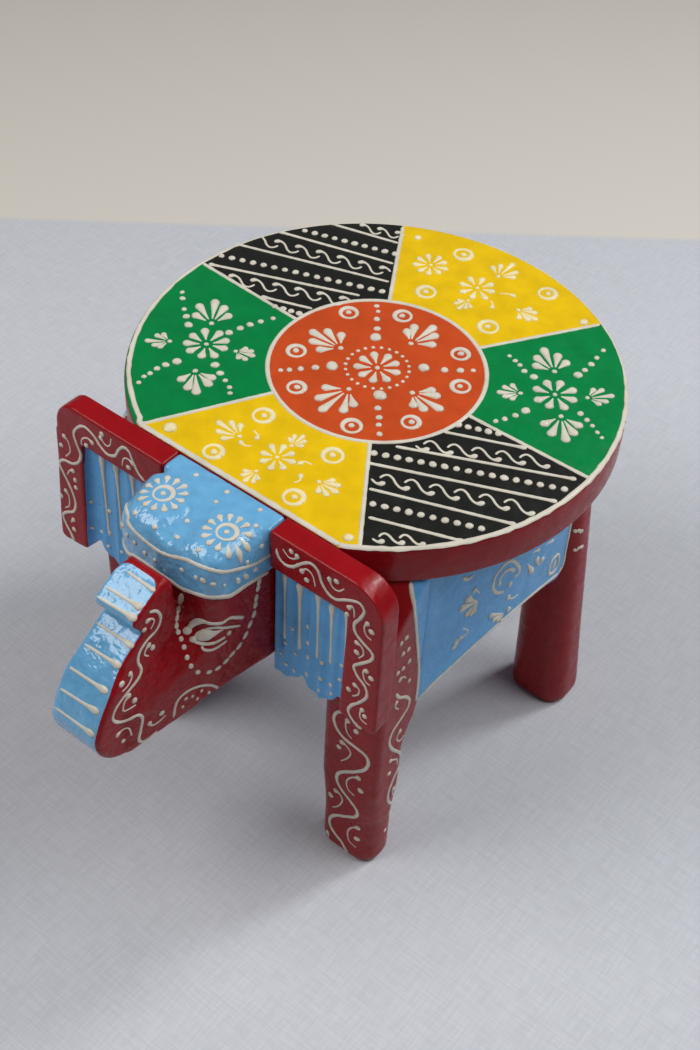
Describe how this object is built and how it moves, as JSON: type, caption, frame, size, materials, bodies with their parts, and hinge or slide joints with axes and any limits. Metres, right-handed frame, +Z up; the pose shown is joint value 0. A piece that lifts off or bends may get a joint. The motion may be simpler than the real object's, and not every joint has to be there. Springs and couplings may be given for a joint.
{
  "type": "carved elephant stool",
  "caption": "Low round wooden stool carved as an elephant, with head, raised trunk, board ears, legs and painted relief ornament on the seat.",
  "frame": {"origin": "on the floor, under the middle of the stool between the trunk's tip and the seat's back edge", "axes": "+Z up, the elephant faces -Y, its left side is +X"},
  "size_m": [0.204, 0.28, 0.191],
  "materials": {
    "seat_enamel": "gloss enamel paint on wood",
    "head_enamel": "gloss enamel paint on wood",
    "ear_enamel": "gloss enamel paint on wood",
    "leg_enamel": "gloss enamel paint on wood",
    "panel_enamel": "gloss enamel paint on wood",
    "bare_wood": "bare turned hardwood",
    "steel_pin": "drawn steel"
  },
  "bodies": {
    "root": {"seat": "seat_enamel", "head": "head_enamel", "left_ear": "ear_enamel", "right_ear": "ear_enamel", "front_left_leg": "leg_enamel", "front_right_leg": "leg_enamel", "rear_left_leg": "leg_enamel", "rear_right_leg": "leg_enamel", "left_side_panel": "panel_enamel", "right_side_panel": "panel_enamel", "rear_panel": "panel_enamel", "front_rail": "leg_enamel", "leg_dowels": "bare_wood", "apron_dowels": "bare_wood", "head_dowels": "bare_wood", "ear_pins": "steel_pin"}
  },
  "joints": []
}
